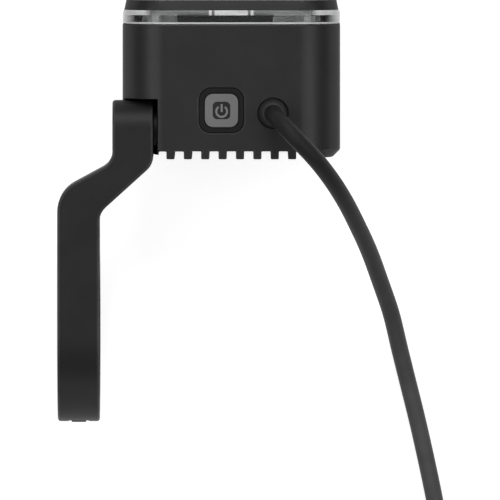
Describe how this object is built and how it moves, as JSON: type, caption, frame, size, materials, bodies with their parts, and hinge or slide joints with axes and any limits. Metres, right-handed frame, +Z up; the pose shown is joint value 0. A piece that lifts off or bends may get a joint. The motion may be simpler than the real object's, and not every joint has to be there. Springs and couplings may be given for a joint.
{
  "type": "bike headlight",
  "caption": "Small die-cast bicycle headlight on an offset arm with a hinged handlebar clamp, a square top button and a lead with a coil and a plug",
  "frame": {"origin": "middle of the handlebar in the clamp", "axes": "+X along the handlebar towards the lamp, +Y forward along the beam, +Z up"},
  "size_m": [0.0988, 0.1897, 0.059],
  "materials": {
    "housing_paint": "satin black anodised",
    "arm_metal": "satin black anodised",
    "clear_plastic": "clear polished",
    "black_rubber": "matte",
    "cable_rubber": "satin",
    "grey_rubber": "matte",
    "pad_rubber": "matte",
    "dark_plastic": "matte",
    "grey_plastic": "satin",
    "wire_red": "matte",
    "board_green": "satin",
    "led_yellow": "satin",
    "bare_aluminium": "satin",
    "bright_steel": "satin",
    "black_steel": "black oxide",
    "brass": "satin"
  },
  "bodies": {
    "lamp": {"housing": "housing_paint", "front_lens": "clear_plastic", "lens_gasket": "black_rubber", "bezel": "housing_paint", "bezel_screws": "black_steel", "front_mask": "grey_plastic", "optic_holder": "dark_plastic", "collimator": "clear_plastic", "led_emitters": "led_yellow", "led_board": "bare_aluminium", "led_board_screws": "bright_steel", "thermal_pad": "pad_rubber", "heat_spreader": "bare_aluminium", "spreader_screws": "bright_steel", "driver_board": "board_green", "driver_parts": "dark_plastic", "led_wires": "wire_red", "supply_wires": "wire_red", "switch_board": "board_green", "switch_screws": "bright_steel", "tact_switch": "dark_plastic", "button_surround": "dark_plastic", "cable_gland": "black_rubber", "gland_nut": "bright_steel", "tilt_insert": "brass", "tilt_bolt": "black_steel", "tilt_washer": "dark_plastic", "cable": "cable_rubber", "cable_coil": "cable_rubber", "cable_tie": "dark_plastic", "cable_tail": "cable_rubber", "plug_body": "black_rubber", "plug_nose": "dark_plastic", "plug_contacts": "brass", "plug_collar": "dark_plastic"},
    "button": {"button_cap": "grey_rubber", "button_icon": "dark_plastic", "switch_plunger": "dark_plastic"},
    "arm": {"arm": "arm_metal", "tilt_head_washer": "bright_steel", "upper_liner": "black_rubber", "hinge_pin": "bright_steel"},
    "jaw": {"jaw": "arm_metal", "lower_liner": "black_rubber"},
    "clamp_screw": {"clamp_screw": "bright_steel", "clamp_shank": "bright_steel"}
  },
  "joints": [
    {"name": "tilt", "type": "hinge", "parent": "lamp", "child": "arm", "pos_m": [0.0136, 0.051, 0.0155], "axis": [1, 0, 0], "range_deg": [-40, 25]},
    {"name": "jaw_hinge", "type": "hinge", "parent": "arm", "child": "jaw", "pos_m": [0, -0.0194, 0], "axis": [-1, 0, 0], "range_deg": [0, 75]},
    {"name": "clamp_screw_turn", "type": "hinge", "parent": "jaw", "child": "clamp_screw", "pos_m": [0, 0.0245, -0.007], "axis": [0, 0, 1], "continuous": true},
    {"name": "button_press", "type": "slide", "parent": "lamp", "child": "button", "axis": [0, 0, -1], "range_m": [0, 0.0006], "stiffness_N_per_m": 600, "springref_m": -0.0006}
  ]
}
